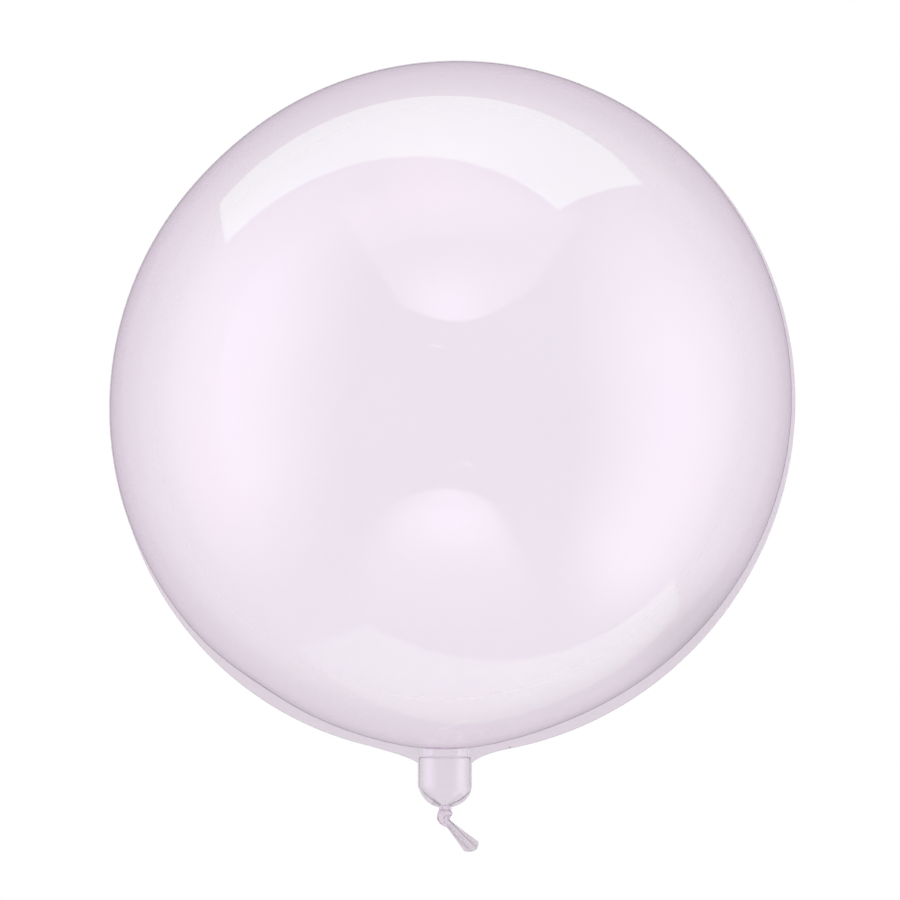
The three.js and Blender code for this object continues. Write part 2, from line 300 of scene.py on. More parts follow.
def painted_dark_reflection(tree, place, dark_reflection):
    """How much the painted dark reflection deepens the colour, fading out away from its place."""
    away = add_node(tree, "ShaderNodeVectorMath", {1: DARK_REFLECTION_PLACE}, operation="SUBTRACT")
    squeeze = add_node(tree, "ShaderNodeVectorMath", {1: (1, 1, DARK_REFLECTION_SQUEEZE)}, operation="MULTIPLY")
    distance = add_node(tree, "ShaderNodeVectorMath", operation="LENGTH")
    limits = {"From Min": DARK_REFLECTION_SPREAD, "From Max": 0, "To Max": dark_reflection}
    spot = add_node(tree, "ShaderNodeMapRange", limits, interpolation_type="SMOOTHSTEP")
    tree.links.new(place, away.inputs[0])
    tree.links.new(away.outputs["Vector"], squeeze.inputs[0])
    tree.links.new(squeeze.outputs["Vector"], distance.inputs[0])
    tree.links.new(distance.outputs["Value"], spot.inputs["Value"])
    return spot.outputs["Result"]


def fine_ripple(tree, place, ripple):
    """The normal of a finely rippled surface."""
    fine = add_node(tree, "ShaderNodeTexNoise", {"Scale": RIPPLE_SCALE, "Detail": 3})
    bump = add_node(tree, "ShaderNodeBump", {"Strength": ripple, "Distance": RIPPLE_HEIGHT})
    tree.links.new(place, fine.inputs["Vector"])
    tree.links.new(fine.outputs["Fac"], bump.inputs["Height"])
    return bump.outputs["Normal"]


def film_material(name, alpha, tints, roughness, ripple=0, gloss=0.8, dark_reflection=0):
    """Clear film: pale seen face on, deeper in colour seen edge on, see-through by a plain alpha, with an
    optional painted dark reflection, a spot of deeper colour round one place.
    """
    material = bpy.data.materials.new(name)
    material.use_nodes = True
    tree = material.node_tree
    tree.nodes.clear()
    output = add_node(tree, "ShaderNodeOutputMaterial")
    shader = add_node(tree, "ShaderNodeBsdfPrincipled", {"Alpha": alpha, "IOR": FILM_IOR})
    place = add_node(tree, "ShaderNodeTexCoord").outputs["Object"]
    facing = add_node(tree, "ShaderNodeLayerWeight", {"Blend": 0.5}).outputs["Facing"]
    cloud = add_node(tree, "ShaderNodeTexNoise", {"Scale": CLOUD_SCALE, "Detail": 2})
    haze_limits = {"To Min": roughness * HAZE_LOW, "To Max": roughness * HAZE_HIGH}
    haze = add_node(tree, "ShaderNodeMapRange", haze_limits)
    clouded = add_node(
        tree, "ShaderNodeMix", {MIX_AMOUNT: CLOUD_TINT}, data_type="RGBA", blend_type="MULTIPLY"
    )
    # Painted dark reflection: the colour is multiplied towards a dark mauve round one place of the rim
    reflection_darkened = add_node(
        tree, "ShaderNodeMix", {MIX_WITH: DARK_REFLECTION_COLOUR}, data_type="RGBA", blend_type="MULTIPLY"
    )
    links = tree.links
    links.new(place, cloud.inputs["Vector"])
    links.new(cloud.outputs["Fac"], haze.inputs["Value"])
    links.new(tint_by_facing(tree, facing, tints), clouded.inputs[MIX_FROM])
    links.new(cloud.outputs["Color"], clouded.inputs[MIX_WITH])
    links.new(painted_dark_reflection(tree, place, dark_reflection), reflection_darkened.inputs[MIX_AMOUNT])
    links.new(clouded.outputs[MIX_RESULT], reflection_darkened.inputs[MIX_FROM])
    links.new(reflection_darkened.outputs[MIX_RESULT], shader.inputs["Base Color"])
    links.new(haze.outputs["Result"], shader.inputs["Roughness"])
    links.new(fading_gloss(tree, facing, gloss), shader.inputs["Specular IOR Level"])
    if ripple > 0:
        links.new(fine_ripple(tree, place, ripple), shader.inputs["Normal"])
    links.new(shader.outputs["BSDF"], output.inputs["Surface"])
    return material


# Colours by how far edge on the film is seen: 0 face on, 1 edge on
BUBBLE_TINTS = (
    (0.0, (0.81, 0.69, 0.84)),
    (0.4, (0.83, 0.70, 0.85)),
    (0.5, (0.81, 0.68, 0.83)),
    (0.57, (0.78, 0.63, 0.78)),
    (0.62, (0.72, 0.56, 0.72)),
    (0.69, (0.68, 0.50, 0.68)),
    (0.75, (0.69, 0.47, 0.69)),
    (0.81, (0.63, 0.40, 0.63)),
    (0.88, (0.40, 0.24, 0.41)),
    (1.0, (0.03, 0.01, 0.04)),
)
WELD_TINTS = (
    (0.0, (0.65, 0.49, 0.65)),
    (0.06, (0.64, 0.48, 0.64)),
    (0.3, (0.28, 0.17, 0.30)),
    (1.0, (0.04, 0.01, 0.04)),
)
NECK_TINTS = (
    (0.0, (0.63, 0.48, 0.65)),
    (0.45, (0.60, 0.47, 0.62)),
    (0.75, (0.44, 0.34, 0.44)),
    (1.0, (0.14, 0.11, 0.13)),
)
KNOT_TINTS = (
    (0.0, (0.86, 0.77, 0.86)),
    (0.4, (0.80, 0.70, 0.80)),
    (0.75, (0.42, 0.32, 0.43)),
    (1.0, (0.06, 0.03, 0.06)),
)
TAIL_TINTS = (
    (0.0, (0.82, 0.76, 0.82)),
    (0.25, (0.72, 0.64, 0.72)),
    (0.7, (0.44, 0.35, 0.45)),
    (1.0, (0.14, 0.09, 0.14)),
)
# The bubble's film carries the painted dark reflection near its rim
bubble_film = film_material("bubble_film", 0.35, BUBBLE_TINTS, 0.03, dark_reflection=0.54)
weld_film = film_material("weld_film", 0.33, WELD_TINTS, 0.12, ripple=0.15)
neck_film = film_material("neck_film", 0.34, NECK_TINTS, 0.09, gloss=0.6)
knot_film = film_material("knot_film", 0.85, KNOT_TINTS, 0.3, gloss=0.25)
tail_film = film_material("tail_film", 0.8, TAIL_TINTS, 0.3, gloss=0.25)

# Bubble

BUBBLE_AROUND = 320
BUBBLE_BANDS = 75


def raised(points, towards, amount, spread):
    """Points drawn out towards a direction, less with the angle away from it, in degrees."""
    cosine = np.clip((points @ towards) / np.linalg.norm(points, axis=1), -1, 1)
    away = np.degrees(np.arccos(cosine)) / spread
    return points + np.outer(amount * np.exp(-away * away), towards)


def bubble_points(directions):
    """Points of the bubble's film in unit directions: stretched, flat below, drawn out at the neck."""
    turn = math.radians(BUBBLE_TURN)
    along = directions[:, 0] * math.sin(turn) + directions[:, 1] * math.cos(turn)
    across = directions[:, 0] * math.cos(turn) - directions[:, 1] * math.sin(turn)
    along = along * long_half
    across = across * short_half
    x = along * math.sin(turn) + across * math.cos(turn)
    y = along * math.cos(turn) - across * math.sin(turn)
    z = np.maximum(directions[:, 2] * deep_half, -rest_height)
    neckward = np.array([neck_x, bubble_edge_y, 0.0])
    neckward /= np.linalg.norm(neckward)
    points = raised(np.stack([x, y, z], axis=1), neckward, NECK_PULL, NECK_PULL_SPREAD)
    for angle, amount, spread in OUTLINE_SWELLS:
        towards = np.array([math.sin(math.radians(angle)), math.cos(math.radians(angle)), 0])
        points = raised(points, towards, amount, spread)
    return points


def bubble_half(name, side):
    """One of the two films of the bubble: side 1 is the upper one, -1 the lower."""
    rows = np.linspace(0, math.pi / 2, BUBBLE_BANDS + 1)[:-1] * side
    lat, lon = np.meshgrid(rows, evenly(BUBBLE_AROUND), indexing="ij")
    ball = np.stack([np.cos(lat) * np.cos(lon), np.cos(lat) * np.sin(lon), np.sin(lat)], axis=2)
    directions = np.concatenate([ball.reshape(-1, 3), [[0, 0, side]]])
    points = bubble_points(directions)
    swell = SWELL_HEIGHT * wobble(points, SWELL_LENGTH, 1)
    swell *= smooth(-rest_height, -rest_height + SWELL_ABOVE_FLOOR, points[:, 2])
    points += directions * swell[:, None]
    faces = grid_faces(len(rows), BUBBLE_AROUND, True)
    pole = len(points) - 1
    last = pole - BUBBLE_AROUND
    for i in range(BUBBLE_AROUND):
        faces.append((last + i, last + (i + 1) % BUBBLE_AROUND, pole))
    if side < 0:
        faces = [tuple(reversed(face)) for face in faces]
    return add_mesh(name, points, faces, bubble_film)


# Weld

WELD_DIVISIONS = 6
WELD_AROUND = 560
FLARE_STEPS = 40
COLLAR_STEPS = 10
ROOT_STEPS = FLARE_STEPS - 2 * (COLLAR_STEPS - 1)
STRIP_STEPS = 20
FOLD_STEPS = 24
# The share of the dome's length that the corner folds run along
FOLD_SHARE = 0.93
COLLAR_UNDER_BUBBLE = 0.6


def bubble_edge(angle):
    """The bubble's edge in the weld's plane, at an angle in degrees, clockwise from +Y."""
    turn = math.radians(BUBBLE_TURN)
    size = reach(long_half, short_half, BUBBLE_TURN, angle)
    x = size * np.sin(np.radians(angle))
    y = size * np.cos(np.radians(angle))
    along = (x * math.sin(turn) + y * math.cos(turn)) / long_half
    across = (x * math.cos(turn) - y * math.sin(turn)) / short_half
    dx = along * math.sin(turn) + across * math.cos(turn)
    dy = along * math.cos(turn) - across * math.sin(turn)
    points = bubble_points(np.stack([dx, dy, np.zeros_like(dx)], axis=1))
    return points[:, :2]


def flange_edge(angle):
    """The flange's outer edge, a wider ellipse set off towards the neck."""
    size = reach(long_half + FLANGE_LONG, short_half + FLANGE_SHORT, FLANGE_TURN, angle)
    x = FLANGE_RIGHT + size * np.sin(np.radians(angle))
    y = -FLANGE_DOWN + size * np.cos(np.radians(angle))
    return np.stack([x, y], axis=-1)


def flange_reach(angles):
    """The flange's reach from the bubble's middle, at angles in degrees, clockwise from +Y."""
    samples = 8 * 360 + 1
    edge = flange_edge(np.linspace(0, 360, samples))
    edge_angle = np.degrees(np.arctan2(edge[:, 0], edge[:, 1])) % 360
    order = np.argsort(edge_angle)
    sizes = np.linalg.norm(edge, axis=1)[order]
    return np.interp(np.asarray(angles) % 360, edge_angle[order], sizes, period=360)


def flange_angle_at(x):
    """The angle at which the flange's lower edge comes to x, closed in on step by step."""
    angle = float(NECK_ANGLE)
    for _ in range(20):
        edge = flange_edge(angle)
        angle += math.degrees((edge[0] - x) / -edge[1])
    return angle


def flare_corner(angle, x):
    """Where the flange's tangent at an angle comes to x."""
    edge = flange_edge(angle)
    ahead = flange_edge(angle + 1)
    slope = (ahead[1] - edge[1]) / (ahead[0] - edge[0])
    return np.array([x, edge[1] + slope * (x - edge[0])])


def arc(start, corner, end, count):
    """Points of the curve from start towards corner and on to end."""
    t = np.linspace(0, 1, count)[:, None]
    return (1 - t) ** 2 * np.array(start) + 2 * t * (1 - t) * np.array(corner) + t**2 * np.array(end)


def line(start, end, count):
    """Points of the straight line from start to end."""
    t = np.linspace(0, 1, count)[:, None]
    return (1 - t) * np.asarray(start, float) + t * np.asarray(end, float)


def dome_edge(side, along):
    """The dome's outline on one side, -1 left and 1 right, at shares of its length."""
    width = neck_radius * (1 - along**DOME_TAPER)
    x = neck_x + DOME_RIGHT * np.sin(math.pi * along) + side * width
    return np.stack([x, gather_y - DOME_LENGTH * along], axis=1)


def weld():
    """The flat weld's outer and inner edge: up the left strip, round the bubble, down the right."""
    left_x = neck_x - strip_x
    right_x = neck_x + strip_x
    flare_end_y = crease_y - FLARE_DROP
    left_flare_end = (left_x, flare_end_y)
    right_flare_end = (right_x, flare_end_y)
    start = flange_angle_at(left_x - FLARE_LEFT)
    end = flange_angle_at(right_x + FLARE_RIGHT)
    left_corner = flare_corner(start, left_x - FLARE_CORNER_LEFT)
    right_corner = flare_corner(end, right_x + FLARE_CORNER_RIGHT)
    left_fold_end = (neck_x - GATHER_LEFT, gather_end_y)
    right_fold_end = (neck_x + GATHER_RIGHT, gather_end_y)
    left_fold = (left_x + FOLD_LEFT, gather_y - FOLD_DROP_LEFT)
    right_fold = (right_x - FOLD_RIGHT, gather_y - FOLD_DROP_RIGHT)

    angles = np.linspace(start, end + 360, WELD_AROUND)[1:]
    edge = bubble_edge(angles)
    rim = np.linalg.norm(edge, axis=1) + WELD_RIM
    size = np.maximum(flange_reach(angles), rim)
    around = np.stack([size * np.sin(np.radians(angles)), size * np.cos(np.radians(angles))], axis=1)
    outer = np.concatenate([
        arc(left_fold_end, left_fold, (left_x, gather_y), FOLD_STEPS),
        line((left_x, gather_y), left_flare_end, STRIP_STEPS)[1:],
        arc(left_flare_end, left_corner, flange_edge(start), FLARE_STEPS)[1:],
        around,
        arc(flange_edge(end), right_corner, right_flare_end, FLARE_STEPS)[1:],
        line(right_flare_end, (right_x, gather_y), STRIP_STEPS)[1:],
        arc((right_x, gather_y), right_fold, right_fold_end, FOLD_STEPS)[1:],
    ])

    neck_left = neck_x - neck_radius
    neck_right = neck_x + neck_radius
    left_crease = (neck_x - collar_radius, crease_y)
    right_crease = (neck_x + collar_radius, crease_y)
    collar_end_y = bubble_edge_y + COLLAR_UNDER_BUBBLE
    left_collar_end = (neck_x - collar_radius - COLLAR_FLARE, collar_end_y)
    right_collar_end = (neck_x + collar_radius + COLLAR_FLARE, collar_end_y)
    left_root = math.degrees(math.atan2(neck_x - collar_radius, bubble_edge_y)) % 360
    right_root = math.degrees(math.atan2(neck_x + collar_radius, bubble_edge_y)) % 360
    along = np.linspace(0, FOLD_SHARE, FOLD_STEPS)
    inner = np.concatenate([
        dome_edge(-1, along[::-1]),
        line((neck_left, gather_y), (neck_left, flare_end_y), STRIP_STEPS)[1:],
        line((neck_left, flare_end_y), left_crease, COLLAR_STEPS)[1:],
        line(left_crease, left_collar_end, COLLAR_STEPS)[1:],
        bubble_edge(np.linspace(left_root, start, ROOT_STEPS)[1:]),
        edge,
        bubble_edge(np.linspace(end, right_root, ROOT_STEPS)[1:]),
        line(right_collar_end, right_crease, COLLAR_STEPS)[1:],
        line(right_crease, (neck_right, flare_end_y), COLLAR_STEPS)[1:],
        line((neck_right, flare_end_y), (neck_right, gather_y), STRIP_STEPS)[1:],
        dome_edge(1, along)[1:],
    ])
    return outer, inner


def weld_heights(points, width, share):
    """How far the flat weld is bent out of its plane: rippled, puckered and tucked at the gather."""
    flat = points * (1, 1, 0)
    heights = waves(points, FLANGE_WAVES) * share * np.clip(width / FLANGE_WAVE_WIDTH, 0, 1)
    gathered_share = smooth(gather_y, gather_y - GATHER_PUCKER_START, points[:, 1])
    puckers = GATHER_PUCKER * waves(flat, GATHER_WAVES)
    heights += puckers * np.sin(math.pi * share) * gathered_share
    corner = np.array([neck_x - GATHER_LEFT - TUCK_LEFT, gather_end_y + TUCK_UP, 0])
    return heights - TUCK_DEPTH * smooth(TUCK_SPREAD, 0, np.linalg.norm(flat - corner, axis=1))


def weld_piece():
    """The weld as a thin closed sheet, with a bead where it is only a narrow rim."""
    outer, inner = weld()
    gap = np.maximum(np.linalg.norm(outer - inner, axis=1), WELD_THICKNESS)
    inner = inner - WELD_OVERLAP * (outer - inner) / gap[:, None]
    rows = []
    for step in range(WELD_DIVISIONS + 1):
        rows.append(inner + (outer - inner) * step / WELD_DIVISIONS)
    flat = np.concatenate(rows)
    points = np.column_stack([flat, np.zeros(len(flat))])
    columns = len(outer)
    width = np.tile(np.linalg.norm(outer - inner, axis=1), WELD_DIVISIONS + 1)
    share = np.repeat(np.arange(WELD_DIVISIONS + 1) / WELD_DIVISIONS, columns)
    points[:, 2] = weld_heights(points, width, share)
    taper = 1 - WELD_EDGE_THINNING * smooth(WELD_THINS_FROM, 1, share)
    round_off = np.sqrt(np.clip(1 - (2 * share - 1) ** 2, 0, 1))
    bead = RIM_BEAD * round_off * smooth(BEAD_BELOW_WIDTH, BEAD_FULL_WIDTH, width)
    upper = points.copy()
    lower = points.copy()
    upper[:, 2] += WELD_THICKNESS / 2 * taper + bead
    lower[:, 2] -= WELD_THICKNESS / 2 * taper + bead
    faces = grid_faces(WELD_DIVISIONS + 1, columns, False)
    count = len(points)
    whole = faces + [tuple(reversed([i + count for i in face])) for face in faces]
    for i in range(columns - 1):
        whole.append((i, i + count, i + 1 + count, i + 1))
        j = WELD_DIVISIONS * columns + i
        whole.append((j, j + 1, j + 1 + count, j + count))
    for row in range(WELD_DIVISIONS):
        a = row * columns
        b = a + columns - 1
        whole.append((a, a + columns, a + columns + count, a + count))
        whole.append((b, b + count, b + columns + count, b + columns))
    return add_mesh("weld_flange", np.concatenate([upper, lower]), whole, weld_film)


# Neck

NECK_AROUND = 144
CREASE_RINGS = 90
TUBE_RINGS = 20
DOME_RINGS = 60


def neck_levels():
    """Places (y) and radii of the tube's rings, set close where the film folds at the crease."""
    creased = [
        (bubble_edge_y + 0.9, collar_radius + COLLAR_FLARE),
        (bubble_edge_y, collar_radius + 0.15),
        (bubble_edge_y - 1.2, collar_radius),
        (crease_y + 1.2, collar_radius),
        (crease_y + 0.4, collar_radius - 0.4),
        (crease_y - 0.1, collar_radius - 0.1),
        (crease_y - 0.4, collar_radius + 0.2),
        (crease_y - 0.5, collar_radius + 0.6),
        (crease_y - 0.3, collar_radius + 0.8),
        (crease_y - 0.1, collar_radius + 1.0),
        (crease_y - 0.2, neck_radius + 0.1),
        (crease_y - 1.2, neck_radius + 0.2),
        (crease_y - 2.8, neck_radius),
    ]
    plain = [
        (crease_y - 7, neck_radius + 0.05),
        (crease_y - 14, neck_radius - 0.05),
        (gather_y, neck_radius),
    ]
    profile = np.array(creased + plain)
    lengths = np.concatenate([[0], np.cumsum(np.linalg.norm(np.diff(profile, axis=0), axis=1))])
    crease_end = lengths[len(creased) - 1]
    close = np.linspace(0, crease_end, CREASE_RINGS)[:-1]
    wide = np.linspace(crease_end, lengths[-1], TUBE_RINGS)
    at = np.concatenate([close, wide])
    levels = np.interp(at, lengths, profile[:, 0])
    sizes = np.interp(at, lengths, profile[:, 1])
    sizes[1:-1] = (sizes[:-2] + 2 * sizes[1:-1] + sizes[2:]) / 4
    return levels, sizes


def tube_ring(y, radius, angle):
    """A ring of the tube: a little out of round on the neck, puckered on the collar."""
    soft = NECK_SOFTNESS * np.cos(NECK_LOBES * angle + NECK_TWIST * y)
    soft = soft * smooth(crease_y, crease_y - SOFT_BELOW_CREASE, y)
    pucker = COLLAR_PUCKER * np.cos(COLLAR_PUCKERS * angle)
    pucker = pucker * smooth(crease_y, crease_y + PUCKERS_ABOVE_CREASE, y)
    size = radius + soft - pucker
    x = neck_x + size * np.cos(angle)
    return np.stack([x, np.full_like(x, y), size * np.sin(angle)], axis=1)


def dome_ring(along, angle):
    """A ring of the dome at a share of its length: folded, pleated and crumpled, ending in the strand."""
    taper = 1 - along**DOME_TAPER
    root = STRAND_WIDTH / 2 * smooth(0.3, 1, along)
    width = np.hypot(neck_radius * taper, root)
    height = np.hypot(neck_radius * taper**DOME_SIDE_TAPER, root)
    middle_part = smooth(0.2, 0.6, along) * smooth(1, 0.8, along)
    depth = DOME_FOLD_DEPTH * smooth(0.15, 0.6, along) + DOME_END_FOLD_DEPTH * smooth(0.6, 1, along)
    turn = DOME_FOLDS / 2 * angle + DOME_FOLD_TWIST * along - DOME_FOLD_TURN
    creases = np.abs(np.sin(turn)) ** FOLD_SHARPNESS
    pleat = 1 + depth * (creases - DOME_FOLD_MIDDLE)
    pleat += DOME_PLEAT_DEPTH * middle_part * np.cos(DOME_PLEATS * angle + DOME_PLEAT_TURN)
    x = neck_x + DOME_RIGHT * math.sin(math.pi * along) + width * pleat * np.cos(angle)
    y = gather_y - DOME_LENGTH * along
    y = y + DOME_SCALLOP_DEPTH * middle_part * np.cos(DOME_SCALLOPS * angle)
    ring = np.stack([x, y, height * pleat * np.sin(angle)], axis=1)
    crumple = waves(ring, DOME_WAVES) * smooth(0.25, 0.7, along) * smooth(1, 0.9, along)
    ring[:, 0] += crumple * np.cos(angle)
    ring[:, 2] += crumple * np.sin(angle)
    return ring


def neck():
    """The neck's tube from the bubble through collar and crease to the folded dome."""
    angle = evenly(NECK_AROUND)
    rings = [tube_ring(y, radius, angle) for y, radius in zip(*neck_levels())]
    rings += [dome_ring((step + 1) / DOME_RINGS, angle) for step in range(DOME_RINGS)]
    faces = grid_faces(len(rings), NECK_AROUND, True)
    return add_mesh("neck", np.concatenate(rings), faces, neck_film)


# Knot and tail

STRAND_RINGS = 90
STRAND_AROUND = 120
WRAP_RINGS = 160
WRAP_AROUND = 48
TAIL_ROWS = 60
TAIL_STRIPS = 96


def smoothed_path(corners, rings, rounds):
    """Evenly spread places (in corners) along a path in the weld's plane, and its rounded points."""
    corners = np.array(corners)
    at = np.linspace(0, len(corners) - 1, rings)
    grid = np.arange(len(corners))
    x = np.interp(at, grid, corners[:, 0])
    y = np.interp(at, grid, corners[:, 1])
    points = np.stack([x, y, np.zeros(rings)], axis=1)
    for _ in range(rounds):
        points[1:-1] = (points[:-2] + 2 * points[1:-1] + points[2:]) / 4
    return at, points


def pleated(half_width, half_height, turn):
    """A round outline with sharp folds cut into it."""
    angle = evenly(STRAND_AROUND)
    folds = np.abs(np.sin(STRAND_FOLDS / 2 * angle + turn)) ** FOLD_SHARPNESS
    size = 1 - STRAND_FOLD_DEPTH + STRAND_FOLD_DEPTH * folds
    return half_width * size * np.cos(angle), half_height * size * np.sin(angle)


def throat():
    """The strand that the neck is twisted into, from the dome through the knot to the tail."""
    tail_x = neck_x + TAIL_RIGHT
    tail_y = gather_end_y - TAIL_DROP
    corners = [
        (neck_x, gather_y - DOME_LENGTH + 0.3),
        (neck_x + 0.3, gather_end_y - 1.6),
        (neck_x - 0.3, gather_end_y - 4.4),
        (neck_x - 0.9, gather_end_y - 7.6),
        (tail_x - 0.2, tail_y - 0.8),
        (tail_x + 3.4, tail_y - 3.6),
        (tail_x + 6.0, tail_y - 6.2),
    ]
    widths = [STRAND_WIDTH, 9.2, 9.8, 10.2, 7.6, 5.4, 4.6]
    heights = [STRAND_WIDTH, 8.2, 7.6, 7.4, 5.6, 3.0, 1.4]
    at, centres = smoothed_path(corners, STRAND_RINGS, STRAND_ROUNDING)
    forward = np.gradient(centres, axis=0)
    forward /= np.linalg.norm(forward, axis=1)[:, None]
    upwards = np.array([0, 0, 1.0])
    grid = np.arange(len(corners))
    rings = []
    for place, centre, ahead in zip(at, centres, forward):
        half_width = np.interp(place, grid, widths) / 2
        half_height = np.interp(place, grid, heights) / 2
        across, up = pleated(half_width, half_height, STRAND_TURN + STRAND_TWIST * place)
        rings.append(centre + across[:, None] * np.cross(upwards, ahead) + up[:, None] * upwards)
    faces = grid_faces(STRAND_RINGS, STRAND_AROUND, True)
    return add_mesh("knot_strand", np.concatenate(rings), faces, knot_film)


def wrap():
    """The turn of film round the strand, ribbed along its length."""
    upwards = np.array([0, 0, 1.0])
    tilt = math.pi / 2 - math.radians(WRAP_TILT)
    lean = math.radians(WRAP_LEAN)
    tilt_turn = np.array([
        [1, 0, 0],
        [0, math.cos(tilt), -math.sin(tilt)],
        [0, math.sin(tilt), math.cos(tilt)],
    ])
    lean_turn = np.array([
        [math.cos(lean), -math.sin(lean), 0],
        [math.sin(lean), math.cos(lean), 0],
        [0, 0, 1],
    ])
    turn = lean_turn @ tilt_turn
    middle = np.array([neck_x - KNOT_LEFT, gather_end_y - KNOT_DROP, 0])
    s = evenly(WRAP_AROUND)
    points = []
    for angle in evenly(WRAP_RINGS):
        outwards = np.array([math.cos(angle), math.sin(angle), 0])
        centre = WRAP_RADIUS * outwards + WRAP_BEND * math.cos(2 * angle) * upwards
        rib_turn = WRAP_RIBS / 2 * s + WRAP_RIB_SWAY * math.sin(angle) + WRAP_RIB_TURN
        ribs = WRAP_RIB_LOW + WRAP_RIB_DEPTH * np.abs(np.sin(rib_turn)) ** FOLD_SHARPNESS
        size = WRAP_STRAND * (1 + WRAP_SWELL * math.sin(2 * angle + WRAP_SWELL_TURN))
        across = (size * ribs * np.cos(s))[:, None] * outwards
        up = (size * WRAP_STRAND_HEIGHT * ribs * np.sin(s))[:, None] * upwards
        points.append((centre + across + up) @ turn.T + middle)
    faces = []
    for i in range(WRAP_RINGS):
        this_ring = i * WRAP_AROUND
        next_ring = (i + 1) % WRAP_RINGS * WRAP_AROUND
        for j in range(WRAP_AROUND):
            k = (j + 1) % WRAP_AROUND
            faces.append((this_ring + j, next_ring + j, next_ring + k, this_ring + k))
    return add_mesh("knot_wrap", np.concatenate(points), faces, knot_film)


def tail_rise(x, width, along):
    """The tail's height across it, with two ridges and fine pleats, and half its thickness."""
    tight = smooth(1.15, 0.25, along)
    crease = TAIL_CREASE_RIGHT + TAIL_SWAY_RIGHT * math.sin(9 * along)
    second = -TAIL_CREASE_LEFT * (0.7 + 0.4 * along) + TAIL_SWAY_LEFT * math.sin(7 * along + 1)
    bends = [
        (-width / 2, 0),
        (second - 0.5, 0.2),
        (second, TAIL_RIDGE_LEFT),
        ((crease + second) / 2, 0.4 + 0.3 * tight),
        (crease - 0.35, TAIL_RIDGE_RIGHT),
        (crease, 0),
        (width / 2, 0.3 * tight),
    ]
    places, levels = zip(*bends)
    rise = np.interp(x, np.maximum.accumulate(places), levels)
    pleats = TAIL_PLEAT * np.sin(x * TAIL_PLEAT_TURNS + TAIL_PLEAT_LEAN * along)
    pleats = pleats * smooth(0, 0.2, along)
    return rise + pleats, TAIL_THICKNESS * (0.5 + tight)


def tail():
    """The pleated tail, flat and fanning out to its trimmed end."""
    lean = math.radians(TAIL_ANGLE)
    forward = np.array([math.sin(lean), -math.cos(lean), 0])
    across = np.cross(np.array([0, 0, 1.0]), forward)
    root = np.array([neck_x + TAIL_RIGHT, gather_end_y - TAIL_DROP, 0])
    columns = TAIL_STRIPS + 1
    points = []
    for row in range(TAIL_ROWS + 1):
        along = row / TAIL_ROWS
        width = TAIL_ROOT_WIDTH + (TAIL_END_WIDTH - TAIL_ROOT_WIDTH) * along
        x = width * np.linspace(-0.5, 0.5, columns)
        rise, half_thickness = tail_rise(x, width, along)
        bow = -TAIL_END_BOW * along * (x - 1) ** 2
        middle = root + forward * TAIL_LENGTH * along
        for level in (1, -1):
            layer = middle + x[:, None] * across + bow[:, None] * forward
            layer[:, 2] += rise + level * half_thickness
            points.append(layer)
    faces = []
    for row in range(TAIL_ROWS):
        left = row * 2 * columns
        next_left = left + 2 * columns
        for strip in range(TAIL_STRIPS):
            a = left + strip
            b = next_left + strip
            faces.append((a, b, b + 1, a + 1))
            faces.append((a + columns, a + columns + 1, b + columns + 1, b + columns))
        faces.append((left, left + columns, next_left + columns, next_left))
        right = left + TAIL_STRIPS
        next_right = next_left + TAIL_STRIPS
        faces.append((right, next_right, next_right + columns, right + columns))
    for strip in range(TAIL_STRIPS):
        faces.append((strip, strip + 1, strip + 1 + columns, strip + columns))
        a = TAIL_ROWS * 2 * columns + strip
        faces.append((a, a + columns, a + 1 + columns, a + 1))
    return add_mesh("tail", np.concatenate(points), faces, tail_film)


upper_film = bubble_half("upper_film", 1)
lower_film = bubble_half("lower_film", -1)
weld_flange = weld_piece()
pieces = [upper_film, lower_film, weld_flange, neck(), throat(), wrap(), tail()]
for piece in pieces:
    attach(piece, "root")
    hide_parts("bubble_balloon")
for piece in (upper_film, lower_film, weld_flange):
    piece.visible_shadow = False
weld_flange.visible_glossy = False

# Floor

FLOOR_SIZE = 40
FLOOR_GAP = 0.0005


def glowing(name, colour, strength):
    """A material that gives off light, with its light node and its output node."""
    material = bpy.data.materials.new(name)
    material.use_nodes = True
    tree = material.node_tree
    tree.nodes.clear()
    output = add_node(tree, "ShaderNodeOutputMaterial")
    light = add_node(tree, "ShaderNodeEmission", {"Color": (*colour, 1), "Strength": strength})
    tree.links.new(light.outputs["Emission"], output.inputs["Surface"])
    material.cycles.emission_sampling = "NONE"
    return material, light, output


half = FLOOR_SIZE / 2
corners = [(x, y, -FLOOR_GAP) for x, y in ((-half, -half), (half, -half), (half, half), (-half, half))]
floor_mesh = bpy.data.meshes.new("floor")
floor_mesh.from_pydata(corners, [], [(0, 1, 2, 3)])
floor_mesh.materials.append(glowing("white_floor", (1, 1, 1), 1.0)[0])
floor = bpy.data.objects.new("floor", floor_mesh)
bpy.context.scene.collection.objects.link(floor)
floor.visible_glossy = False

# Lamps

LAMP_DISTANCE = 60
LAMP_COLUMNS = 96
LAMP_ROWS = 64


def gathered(name, objects):
    """A collection for a lamp's light to fall on."""
    group = bpy.data.collections.new(name)
    for thing in objects:
        group.objects.link(thing)
    return group


upper_pieces = gathered("lit_from_above", [piece for piece in pieces if piece is not lower_film])
lower_pieces = gathered("lit_through_the_film", [lower_film])


